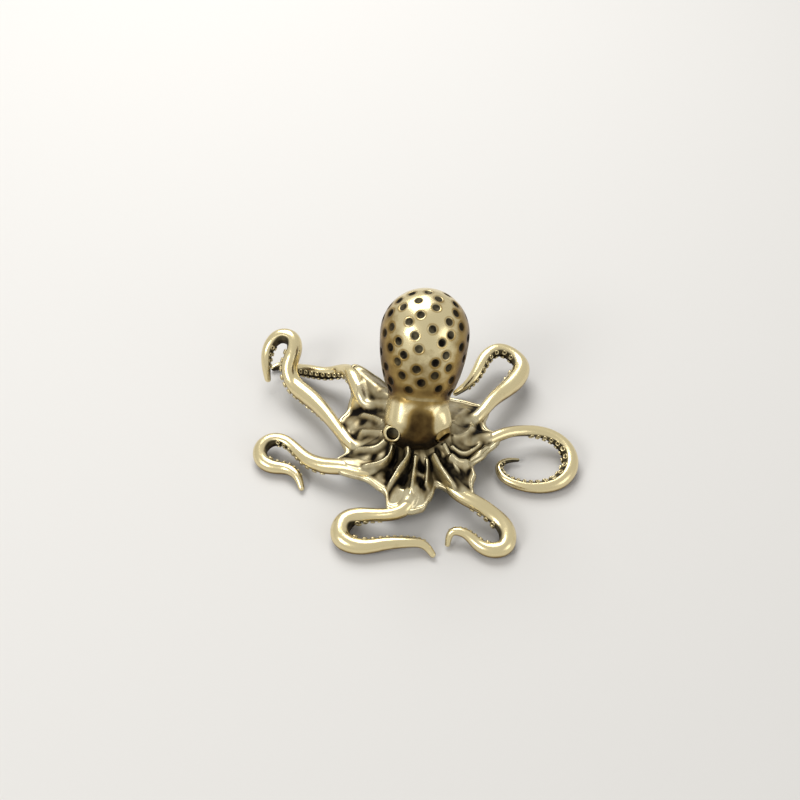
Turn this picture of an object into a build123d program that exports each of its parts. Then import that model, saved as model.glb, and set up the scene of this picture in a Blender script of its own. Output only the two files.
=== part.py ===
"""Octopus figurine: a small brass animal that stands on its eight curled arms.

The frame is in millimetres, with +Z up. The face looks towards -Y, and the origin is on the ground
under the middle of the figurine. The head stands on the hub axis, and every arm leaves from that axis.
"""

import os

import numpy as np
from build123d import *

# Overall sizes
ARM_REACH = 20.0
ARM_LIFT = 5.0
ARM_GIRTH_SHARE = 0.05
GROUND_FLAT = 0.08
CUT_OVERRUN = 2.0

# Mantle, the egg-shaped body with its pits
MANTLE_LENGTH = 13.0
MANTLE_RADIUS = 5.35
MANTLE_LEAN = 39.0
MANTLE_TURN = -8.0
MANTLE_RIM_SHARE = 0.7
MANTLE_WAIST_SHARE = 0.58
PIT_RADIUS = 0.55
PIT_DEPTH = 0.24
PIT_PITCH = 1.95
PIT_EDGE = 0.75
PIT_STRAY = 0.26

# Head, with the neck that carries the mantle and the hub that the arms enter
HEAD_RADIUS = 3.7
HEAD_HEIGHT = 8.2
HEAD_FORWARD = 0.3
NECK_RADIUS = 3.75
NECK_LENGTH = 2.9
HUB_RADIUS = 3.35
HUB_HEIGHT = 3.3
PEG_RADIUS = 1.3
PEG_LENGTH = 2.2
BROW_RADIUS = 1.6
BROW_OUT = 2.1
BROW_FORWARD = 1.4
BROW_RISE = 1.3

# Eyes, each a ball with a drilled pupil
EYE_RADIUS = 1.25
EYE_OUT = 2.8
EYE_FORWARD = 2.3
PUPIL_RADIUS = 0.72
PUPIL_DEPTH = 1.15
PUPIL_ROUND = 0.14
EYE_PLACES = {"left": (-1, -103.0, 38.0), "right": (1, -55.0, -12.0)}

# Web, the skirt between the arms. Its height falls from the top by the share of the way out to a power.
# The rim's points and the crests of the folds are directions in degrees with shares of the reach.
WEB_TOP = 8.1
WEB_START_SHARE = 0.85
WEB_RIM_HEIGHT = 2.9
WEB_ROOT_THICKNESS = 1.9
WEB_THICKNESS = 0.6
WEB_REACH = 10.0
WEB_FALL_POWER = 0.6
WEB_LEVEL_SHARES = [0.0, 0.08, 0.22, 0.42, 0.7, 1.0]
WEB_RIM_SHARES = [(-98.0, 1.08), (-82.0, 0.92), (-70.0, 0.72), (-58.0, 0.86), (-48.0, 1.0), (-37.0, 0.9),
                  (-26.0, 0.79), (-11.0, 0.9), (0.0, 1.03), (12.0, 0.94), (22.0, 0.92), (34.0, 1.06),
                  (60.0, 0.88), (87.0, 0.98), (110.0, 0.9), (129.0, 1.16), (147.0, 1.05), (165.0, 1.03),
                  (184.0, 0.89), (203.0, 1.03), (229.0, 0.83), (246.0, 0.94)]
# Each fold has its radius and how high its middle stands over the skin as shares of the fold radius
FOLD_RADIUS = 0.4
FOLD_SHARES = [
    (1.0, 0.2, [(138, 0.47), (140, 0.66), (144, 0.82)]),
    (0.9, 0.3, [(171, 0.42), (156, 0.6), (151, 0.8)]),
    (1.0, 0.3, [(192, 0.42), (180, 0.56), (174, 0.7)]),
    (0.8, 0.5, [(208, 0.42), (208, 0.54), (200, 0.68), (193, 0.8)]),
    (0.9, 0.9, [(222, 0.42), (229, 0.52), (223, 0.64), (213, 0.8)]),
    (0.9, 1.0, [(249, 0.4), (255, 0.47), (249, 0.6), (246, 0.78)]),
    (0.8, 0.8, [(268, 0.42), (266, 0.6), (265, 0.85)]),
    (0.9, 0.8, [(290, 0.42), (285, 0.55), (280, 0.72)]),
    (1.0, 0.7, [(303, 0.48), (309, 0.66), (312, 0.84)]),
    (1.2, 0.6, [(324, 0.44), (323, 0.56), (333, 0.68), (350, 0.84)]),
    (1.1, 0.3, [(344, 0.46), (357, 0.58), (9, 0.7), (22, 0.78)]),
    (1.0, 0.1, [(12, 0.48), (28, 0.65), (36, 0.85)]),
]
DENT_RADIUS = 0.8
DENT_SHARES = [(235, 0.46), (238, 0.6), (259, 0.52), (257, 0.68), (278, 0.52), (276, 0.66), (300, 0.42),
               (313, 0.5)]

# Arms: each row is a point of the arm's middle line, from the hub to the tip. Its shares are x and y
# of the reach from the hub axis, the clearance under the arm of the lift, the radius of the girth,
# and the way the suckers face: 0 faces the ground, 1 the right hand side seen along the arm.
ROOT_SHARE = 0.145
ROOT_LIFT_SHARE = 0.6
ARM_SHARES = {
    "front": [(-0.02, -0.26, 0.56, 0.93, 0.0), (-0.03, -0.38, 0.46, 0.95, 0.0),
              (-0.08, -0.49, 0.42, 0.87, 0.0), (-0.2, -0.51, 0.32, 0.82, -0.2),
              (-0.33, -0.5, 0.19, 1.0, -0.6), (-0.43, -0.53, 0.05, 1.24, -1.0),
              (-0.45, -0.62, 0.0, 1.24, -1.0), (-0.35, -0.69, 0.04, 1.02, -1.0),
              (-0.2, -0.68, 0.11, 0.83, -0.9), (-0.06, -0.67, 0.15, 0.69, -0.8),
              (0.04, -0.68, 0.12, 0.54, -0.8), (0.09, -0.73, 0.05, 0.4, -0.8)],
    "front_right": [(0.16, -0.21, 0.56, 0.93, 0.0), (0.22, -0.34, 0.42, 0.95, 0.0),
                    (0.35, -0.43, 0.32, 0.98, 0.3), (0.46, -0.5, 0.15, 1.06, 0.7),
                    (0.53, -0.6, 0.03, 1.14, 1.0), (0.51, -0.69, 0.0, 1.06, 1.0),
                    (0.43, -0.71, 0.02, 0.94, 1.0), (0.35, -0.67, 0.1, 0.77, 1.0),
                    (0.28, -0.62, 0.24, 0.6, 0.8), (0.21, -0.61, 0.26, 0.5, 0.6),
                    (0.18, -0.66, 0.07, 0.34, 0.6)],
    "right": [(0.26, -0.03, 0.56, 0.93, 0.0), (0.38, -0.01, 0.48, 0.86, 0.0), (0.53, 0.06, 0.5, 0.78, 0.3),
              (0.69, 0.11, 0.4, 0.78, 0.6), (0.84, 0.1, 0.28, 0.84, 0.8), (0.94, 0.02, 0.16, 0.95, 1.1),
              (0.96, -0.1, 0.05, 1.06, 1.2), (0.89, -0.21, 0.0, 1.0, 1.35), (0.75, -0.255, 0.02, 0.82, 1.4),
              (0.61, -0.23, 0.06, 0.68, 1.4), (0.53, -0.17, 0.1, 0.56, 1.35), (0.52, -0.1, 0.12, 0.47, 1.3),
              (0.575, -0.055, 0.12, 0.36, 1.2), (0.64, -0.045, 0.12, 0.24, 1.2)],
    "back_right": [(0.23, 0.11, 0.56, 0.9, 0.0), (0.36, 0.16, 0.54, 0.8, 0.0),
                   (0.46, 0.28, 0.59, 0.84, 0.0), (0.57, 0.42, 0.44, 1.08, -0.3),
                   (0.67, 0.55, 0.34, 1.26, -0.6), (0.7, 0.66, 0.36, 1.14, -0.9),
                   (0.65, 0.74, 0.46, 0.96, -1.0), (0.56, 0.77, 0.54, 0.9, -1.0),
                   (0.48, 0.72, 0.53, 0.92, -1.0), (0.42, 0.62, 0.44, 0.85, -0.9),
                   (0.35, 0.53, 0.3, 0.66, -0.7), (0.27, 0.5, 0.12, 0.45, -0.6)],
    "back": [(0.03, 0.26, 0.56, 0.93, 0.0), (0.02, 0.4, 0.46, 0.9, 0.0), (0.05, 0.54, 0.36, 0.96, -0.3),
             (0.1, 0.67, 0.09, 1.06, -0.8), (0.09, 0.78, 0.0, 1.08, -1.0), (0.0, 0.82, 0.16, 0.98, -1.0),
             (-0.09, 0.78, 0.5, 0.84, -1.0), (-0.14, 0.72, 0.9, 0.7, -1.0), (-0.16, 0.7, 1.24, 0.56, -1.0),
             (-0.13, 0.66, 1.46, 0.4, -1.0)],
    "back_left": [(-0.19, 0.18, 0.58, 0.93, 0.0), (-0.29, 0.24, 0.64, 0.95, 0.0),
                  (-0.37, 0.37, 0.84, 1.02, 0.0), (-0.43, 0.51, 0.78, 1.0, -0.4),
                  (-0.5, 0.58, 0.52, 0.93, -0.8), (-0.59, 0.6, 0.38, 0.86, -1.0),
                  (-0.69, 0.64, 0.27, 0.86, -1.0), (-0.78, 0.69, 0.14, 0.79, -1.0),
                  (-0.86, 0.74, 0.06, 0.66, -1.0), (-0.92, 0.76, 0.03, 0.52, -1.0),
                  (-0.96, 0.74, 0.05, 0.4, -1.0)],
    "left": [(-0.25, -0.03, 0.56, 0.93, 0.0), (-0.34, -0.06, 0.52, 0.78, 0.0),
             (-0.43, 0.01, 0.52, 0.72, 0.0), (-0.51, 0.13, 0.52, 0.83, 0.0), (-0.61, 0.29, 0.4, 1.04, -0.1),
             (-0.72, 0.42, 0.32, 1.2, -0.3), (-0.81, 0.52, 0.38, 1.16, -0.6),
             (-0.83, 0.6, 0.64, 1.12, -0.9), (-0.8, 0.68, 0.9, 1.1, -1.0), (-0.82, 0.75, 1.04, 1.06, -1.0),
             (-0.89, 0.77, 1.06, 0.98, -1.0), (-0.96, 0.72, 0.92, 0.86, -1.0),
             (-0.985, 0.65, 0.64, 0.7, -1.0), (-0.98, 0.59, 0.28, 0.47, -0.9)],
    "front_left": [(-0.2, -0.17, 0.56, 0.93, 0.0), (-0.29, -0.22, 0.46, 0.92, 0.0),
                   (-0.41, -0.19, 0.42, 0.98, 0.0), (-0.55, -0.15, 0.28, 1.04, -0.2),
                   (-0.67, -0.09, 0.22, 0.94, -0.5), (-0.76, 0.0, 0.24, 0.8, -0.7),
                   (-0.84, 0.06, 0.26, 0.82, -0.9), (-0.92, 0.07, 0.2, 0.9, -1.0),
                   (-0.975, 0.025, 0.1, 0.98, -1.0), (-0.97, -0.045, 0.02, 0.99, -1.0),
                   (-0.91, -0.095, 0.0, 0.92, -1.0), (-0.81, -0.12, 0.05, 0.76, -1.0),
                   (-0.74, -0.18, 0.1, 0.59, -0.8), (-0.71, -0.25, 0.04, 0.41, -0.8)],
}
ROOT_TURNS = {"front": -94.0, "front_right": -53.0, "right": -11.0, "back_right": 30.0,
              "back": 84.0, "back_left": 136.0, "left": 180.0, "front_left": 221.0}
STATIONS_PER_ROW = 2
FOLD_STATIONS = 7
SAMPLES = 601
MANTLE_STRIDE = 50
TIP_SHARES = [(0.45, 0.87), (0.8, 0.56)]

# Suckers, two rows of cups along each arm
CUP_SHARE = 0.34
CUP_HEIGHT_SHARE = 0.2
CUP_STALK_SHARE = 0.5
CUP_BOWL_SHARE = 0.62
CUP_PITCH_SHARE = 1.1
CUP_GAP = 0.04
CUP_GROUND_GAP = 0.06
CUP_ROW_ANGLE = 33.0
CUP_LEAST_ARM = 0.3
CUP_LEAST_ROOM = 0.6
CUP_START_SHARE = 0.4
CUP_END_SHARE = 0.93

HUB_AXIS = Vector(0, 0, 1)
GOLDEN_ANGLE = 180 * (3 - 5 ** 0.5)


def natural_curve(rows, count):
    """Rows along a natural cubic spline through the given rows, spaced evenly by chord length."""
    rows = np.array(rows, float)
    steps = np.linalg.norm(np.diff(rows[:, :3], axis=0), axis=1)
    places = np.concatenate([[0], np.cumsum(steps)])
    size = len(rows)
    matrix = np.zeros((size, size))
    right = np.zeros_like(rows)
    matrix[0, 0] = matrix[-1, -1] = 1
    for i in range(1, size - 1):
        matrix[i, i - 1:i + 2] = steps[i - 1], 2 * (steps[i - 1] + steps[i]), steps[i]
        right[i] = 6 * ((rows[i + 1] - rows[i]) / steps[i] - (rows[i] - rows[i - 1]) / steps[i - 1])
    bend = np.linalg.solve(matrix, right)
    at = np.linspace(0, places[-1], count)
    k = np.clip(np.searchsorted(places, at) - 1, 0, size - 2)
    before, after, step = (at - places[k])[:, None], (places[k + 1] - at)[:, None], steps[k][:, None]
    curve = bend[k] * after ** 3 / (6 * step) + bend[k + 1] * before ** 3 / (6 * step)
    curve += (rows[k] / step - bend[k] * step / 6) * after
    return curve + (rows[k + 1] / step - bend[k + 1] * step / 6) * before


def arm_rows(name):
    """The arm's points in real sizes: x, y, z, radius and the suckers' turn in degrees."""
    root = Vector(1, 0, 0).rotate(Axis.Z, ROOT_TURNS[name]) * ROOT_SHARE
    shares = [(root.X, root.Y, ROOT_LIFT_SHARE, ARM_SHARES[name][0][3], 0.0)] + ARM_SHARES[name]
    rows = []
    for x, y, lift, girth, turn in shares:
        radius = girth * ARM_GIRTH_SHARE * ARM_REACH
        middle = lift * ARM_LIFT + radius - GROUND_FLAT
        rows.append((x * ARM_REACH, y * ARM_REACH, middle, radius, 90 * turn))
    return rows


def arm_curve(name, count):
    """Stations along an arm: their rows, their forward directions and their right hand sides."""
    curve = natural_curve(arm_rows(name), count)
    forward = np.gradient(curve[:, :3], axis=0)
    forward /= np.linalg.norm(forward, axis=1)[:, None]
    side = np.cross(forward, tuple(HUB_AXIS))
    side /= np.linalg.norm(side, axis=1)[:, None]
    return curve, forward, side


def build_arm(name, ground):
    """A round arm that thins to its tip, with small flats where it stands on the ground."""
    count = STATIONS_PER_ROW * len(ARM_SHARES[name])
    curve, forward, side = arm_curve(name, count)
    rings = []
    for row, ahead, right in zip(curve, forward, side):
        plane = Plane(origin=Vector(*row[:3]), x_dir=Vector(*right), z_dir=Vector(*ahead))
        rings.append(plane * Circle(row[3]))
    tip, ahead, right, radius = Vector(*curve[-1][:3]), Vector(*forward[-1]), Vector(*side[-1]), curve[-1][3]
    for along, across in TIP_SHARES:
        plane = Plane(origin=tip + ahead * radius * along, x_dir=right, z_dir=ahead)
        rings.append(plane * Circle(radius * across))
    rings.append(Vertex(tip + ahead * radius))
    return loft(rings) - ground


def build_suckers(name, cup):
    """Two rows of cups that face the ground near the hub and the inside of the curl further out."""
    curve, forward, side = arm_curve(name, SAMPLES)
    facing = np.radians(curve[:, 4])[:, None]
    down = np.cross(forward, side)
    line = curve[:, :3] + (down * np.cos(facing) + side * np.sin(facing)) * curve[:, 3:4]
    steps = np.linalg.norm(np.diff(line, axis=0), axis=1)
    room = steps / np.linalg.norm(np.diff(curve[:, :3], axis=0), axis=1)
    places = np.concatenate([[0], np.cumsum(steps)])
    place = places[int(CUP_START_SHARE * len(places))]
    cups = []
    while place < places[int(CUP_END_SHARE * len(places))]:
        k = int(np.searchsorted(places, place))
        radius = curve[k][3]
        place += CUP_PITCH_SHARE * radius
        if radius < CUP_LEAST_ARM * ARM_GIRTH_SHARE * ARM_REACH or room[k - 1] < CUP_LEAST_ROOM:
            continue
        ahead, right, under = Vector(*forward[k]), Vector(*side[k]), Vector(*down[k])
        for row_angle in (-CUP_ROW_ANGLE, CUP_ROW_ANGLE):
            out = under.rotate(Axis((0, 0, 0), ahead), -(curve[k][4] + row_angle))
            foot = Vector(*curve[k][:3]) + out * (radius + CUP_GAP)
            size = radius * CUP_SHARE
            lowest = foot.Z + min(0, out.Z) * radius * CUP_HEIGHT_SHARE - size * (1 - out.Z ** 2) ** 0.5
            if lowest > CUP_GROUND_GAP:
                cups.append(Plane(origin=foot, x_dir=ahead, z_dir=out) * scale(cup, size))
    return Compound(children=cups)


def unit_cup():
    """A sucker with a radius of one: a low cup that widens from its stalk, with a bowl in its top."""
    height = CUP_HEIGHT_SHARE / CUP_SHARE
    cone = Pos(0, 0, height / 2) * Cone(CUP_STALK_SHARE, 1, height)
    return cone - Pos(0, 0, height) * Sphere(CUP_BOWL_SHARE)


def mantle_plane():
    """The neck's top: a plane through the head's middle line, tilted back as the mantle leans."""
    head = Vector(0, -HEAD_FORWARD, HEAD_HEIGHT)
    along = HUB_AXIS.rotate(Axis.X, -MANTLE_LEAN).rotate(Axis.Z, MANTLE_TURN)
    return Plane(origin=head + along * NECK_LENGTH, x_dir=along.cross(HUB_AXIS) * -1, z_dir=along)


def build_peg(neck):
    """The round peg on the neck that the mantle's hole fits."""
    place = Pos(0, 0, PEG_LENGTH / 2 - CUT_OVERRUN / 2)
    return neck * place * Cylinder(PEG_RADIUS, PEG_LENGTH + CUT_OVERRUN)


def build_mantle(neck, peg_hole):
    """An egg turned about its axis: a parabola up to the waist, an ellipse above, and pits all over."""
    waist = MANTLE_WAIST_SHARE * MANTLE_LENGTH
    heights = MANTLE_LENGTH * np.sin(np.linspace(0, np.pi / 2, SAMPLES))
    below = np.clip(1 - heights / waist, 0, None)
    above = np.clip((heights - waist) / (MANTLE_LENGTH - waist), 0, 1)
    radii = MANTLE_RADIUS * (1 - (1 - MANTLE_RIM_SHARE) * below ** 2) * np.sqrt(1 - above ** 2)
    outline = list(zip(radii[::MANTLE_STRIDE], heights[::MANTLE_STRIDE]))
    flare = 2 * (1 - MANTLE_RIM_SHARE) * MANTLE_RADIUS / waist
    skin = Spline(*outline, tangents=((flare, 1), (-1, 0)))
    section = make_face([skin, Line(outline[-1], (0, 0)), Line((0, 0), outline[0])])
    egg = revolve(Plane.XZ * section, Axis.Z)

    steps = np.hypot(np.diff(radii), np.diff(heights))
    run = np.concatenate([[0], np.cumsum(steps)])
    area = np.concatenate([[0], np.cumsum(np.pi * (radii[1:] + radii[:-1]) * steps)])
    start, end = np.interp([PIT_EDGE, run[-1] - 2 * PIT_RADIUS], run, area)
    count = int((end - start) / PIT_PITCH ** 2)
    pits = []
    for i in range(count):
        stray = PIT_STRAY * np.sin(i * i)
        at = np.interp(start + (end - start) * (i + 0.5) / count, area, run)
        out = np.interp([at - PIT_RADIUS, at + PIT_RADIUS], run, radii)
        up = np.interp([at - PIT_RADIUS, at + PIT_RADIUS], run, heights)
        slope = Vector(up[1] - up[0], 0, out[0] - out[1]).normalized()
        place = Vector(np.interp(at, run, radii), 0, np.interp(at, run, heights))
        place += slope * (PIT_RADIUS - PIT_DEPTH)
        ball = Plane(origin=place, x_dir=slope, z_dir=Axis.Y.direction) * Sphere(PIT_RADIUS)
        turn = (i + 0.5) * GOLDEN_ANGLE + np.degrees(stray * PIT_PITCH / max(place.X, PIT_PITCH))
        pits.append(Rot(0, 0, turn) * ball)
    return neck * (egg - pits) - peg_hole


def build_eye(side):
    """A ball with a drilled pupil, its rim rounded."""
    across, turn, rise = EYE_PLACES[side]
    facing = Vector(1, 0, 0).rotate(Axis.Y, -rise).rotate(Axis.Z, turn)
    middle = Vector(across * EYE_OUT, -EYE_FORWARD, HEAD_HEIGHT)
    ball = Sphere(EYE_RADIUS)
    pupil = Pos(0, 0, EYE_RADIUS - PUPIL_DEPTH + CUT_OVERRUN / 2) * Cylinder(PUPIL_RADIUS, CUT_OVERRUN)
    eye = ball - pupil
    rim = eye.edges().filter_by(GeomType.CIRCLE).sort_by(Axis.Z)[-1]
    eye = fillet(rim, PUPIL_ROUND)
    place = Plane(origin=middle, z_dir=facing)
    return place * eye, place * ball


def build_head(neck):
    """Head, neck, brows and hub in one casting, before the eyes and arms are let into it."""
    middle = Vector(0, -HEAD_FORWARD, HEAD_HEIGHT)
    head = Pos(middle) * Sphere(HEAD_RADIUS)
    head += neck * Pos(0, 0, -NECK_LENGTH / 2) * Cylinder(NECK_RADIUS, NECK_LENGTH)
    head += Pos(0, 0, (HUB_HEIGHT + HEAD_HEIGHT) / 2) * Cylinder(HUB_RADIUS, HEAD_HEIGHT - HUB_HEIGHT)
    for side in (-1, 1):
        head += Pos(side * BROW_OUT, -BROW_FORWARD, HEAD_HEIGHT + BROW_RISE) * Sphere(BROW_RADIUS)
    above = neck * Pos(0, 0, HEAD_RADIUS) * Cylinder(2 * NECK_RADIUS, 2 * HEAD_RADIUS)
    return head - above + build_peg(neck)


def web_point(turn, share, out=1):
    """A point on the web's skin: out along the way from the hub to the given share of the reach."""
    start = WEB_START_SHARE * HUB_RADIUS
    height = WEB_TOP - out ** WEB_FALL_POWER * (WEB_TOP - WEB_RIM_HEIGHT)
    return Vector(start + out * (share * WEB_REACH - start), 0, height).rotate(Axis.Z, turn)


def web_skin(root_drop, rim_drop):
    """The closed shape under one skin of the web, lowered by the two drops at its root and its rim."""
    rings = []
    for out in WEB_LEVEL_SHARES:
        down = Vector(0, 0, root_drop + out * (rim_drop - root_drop))
        outline = Spline(*[web_point(*rim, out) - down for rim in WEB_RIM_SHARES], periodic=True)
        rings.append(make_face(outline))
    return loft(rings)


def on_web(turn, share):
    """The point of the web's skin over a place, given its direction and its share of the reach."""
    turns, reaches = zip(*(WEB_RIM_SHARES + [(WEB_RIM_SHARES[0][0] + 360, WEB_RIM_SHARES[0][1])]))
    around = (turn - turns[0]) % 360 + turns[0]
    rim = float(np.interp(around, turns, reaches))
    start = WEB_START_SHARE * HUB_RADIUS
    return web_point(turn, rim, (share * WEB_REACH - start) / (rim * WEB_REACH - start))


def build_fold(girth, rise, crest):
    """A fold: a round ridge that thins at both ends, along a curve over the web's skin."""
    radius = girth * FOLD_RADIUS
    rows = [(*(on_web(turn, share) + HUB_AXIS * rise * radius), radius) for turn, share in crest]
    curve = natural_curve(rows, FOLD_STATIONS)
    forward = np.gradient(curve[:, :3], axis=0)
    rings = []
    for k, (row, ahead) in enumerate(zip(curve, forward)):
        swell = np.sin(np.pi * (k + 0.5) / FOLD_STATIONS) ** 0.5
        rings.append(Plane(origin=Vector(*row[:3]), z_dir=Vector(*ahead)) * Circle(radius * float(swell)))
    return loft(rings)


def build_web(head, eyes, arms):
    """The skirt round the head: a skin with dents pressed into it and folds raised on it."""
    web = web_skin(0, 0) - web_skin(WEB_ROOT_THICKNESS, WEB_THICKNESS)
    web -= [Pos(on_web(turn, share)) * Sphere(DENT_RADIUS) for turn, share in DENT_SHARES]
    for fold in FOLD_SHARES:
        web += build_fold(*fold)
    web = web - head - eyes - list(arms.values())
    return web.solids().sort_by(SortBy.VOLUME)[-1]


def main():
    """Builds every node, centres the part on its arms' box and writes one file for each node."""
    os.makedirs("parts", exist_ok=True)
    ground = Pos(0, 0, -CUT_OVERRUN / 2) * Box(3 * ARM_REACH, 3 * ARM_REACH, CUT_OVERRUN)
    arms = {name: build_arm(name, ground) for name in ARM_SHARES}
    neck = mantle_plane()
    head = build_head(neck)
    nodes = {"mantle": build_mantle(neck, build_peg(neck))}
    balls = []
    for side in EYE_PLACES:
        nodes["eye_" + side], ball = build_eye(side)
        balls.append(ball)
    nodes["head"] = head - balls - list(arms.values())
    nodes["web"] = build_web(head, balls, arms)
    cup = unit_cup()
    for name, arm in arms.items():
        nodes[name + "_arm"] = arm
        nodes[name + "_suckers"] = build_suckers(name, cup)

    box = Compound(children=[Part() + arm for arm in arms.values()]).bounding_box()
    for name, shape in nodes.items():
        export_step(Pos(-box.center().X, -box.center().Y, 0) * shape, "parts/" + name + ".step")
    print("hub axis at", -box.center().X, -box.center().Y)


main()
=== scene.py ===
"""Looks of the brass octopus figurine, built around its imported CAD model.

Every piece is a surface worked out with numpy in millimetres from the hub axis, the upright line that
the head stands on and the arms leave from, and put into Blender in metres.
"""

import math

import bpy
import numpy as np
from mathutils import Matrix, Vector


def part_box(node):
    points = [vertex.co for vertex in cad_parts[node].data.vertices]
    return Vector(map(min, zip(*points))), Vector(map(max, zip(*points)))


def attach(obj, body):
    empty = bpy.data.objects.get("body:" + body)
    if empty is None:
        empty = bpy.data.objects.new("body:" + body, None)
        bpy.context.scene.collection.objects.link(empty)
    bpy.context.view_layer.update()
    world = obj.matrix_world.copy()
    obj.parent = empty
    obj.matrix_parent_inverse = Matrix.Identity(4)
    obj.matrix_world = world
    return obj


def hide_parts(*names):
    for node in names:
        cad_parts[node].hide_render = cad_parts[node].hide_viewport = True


bl_info = {
    "name": "Brass Octopus Figurine",
    "version": (1, 0, 0),
    "blender": (4, 5, 0),
    "location": "View3D > Sidebar > Octopus",
    "description": "Builds a small cast brass octopus round its CAD frame, with its stage",
    "category": "Add Mesh",
}

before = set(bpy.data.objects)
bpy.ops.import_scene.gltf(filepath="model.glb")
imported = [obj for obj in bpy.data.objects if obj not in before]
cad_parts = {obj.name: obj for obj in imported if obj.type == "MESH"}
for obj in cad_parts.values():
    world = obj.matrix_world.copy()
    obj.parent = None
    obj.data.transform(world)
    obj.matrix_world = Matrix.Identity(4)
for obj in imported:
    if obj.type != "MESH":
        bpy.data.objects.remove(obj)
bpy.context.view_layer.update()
BODY = "root"
MM = 0.001

# Arms: each row is a point of the arm's middle line, from the hub to the tip. Its shares are x and y
# of the reach from the hub axis, the clearance under the arm of the lift, the radius of the girth,
# and the way the suckers face: 0 faces the ground, 1 the right hand side seen along the arm.
ARM_REACH = 20.0
ARM_LIFT = 5.0
ARM_GIRTH = 1.0
# The arms are set this deep into the ground and are flat there
GROUND_FLAT = 0.08
# The cast skins lie this far inside their solids
SKIN_INSET = 0.015
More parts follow.
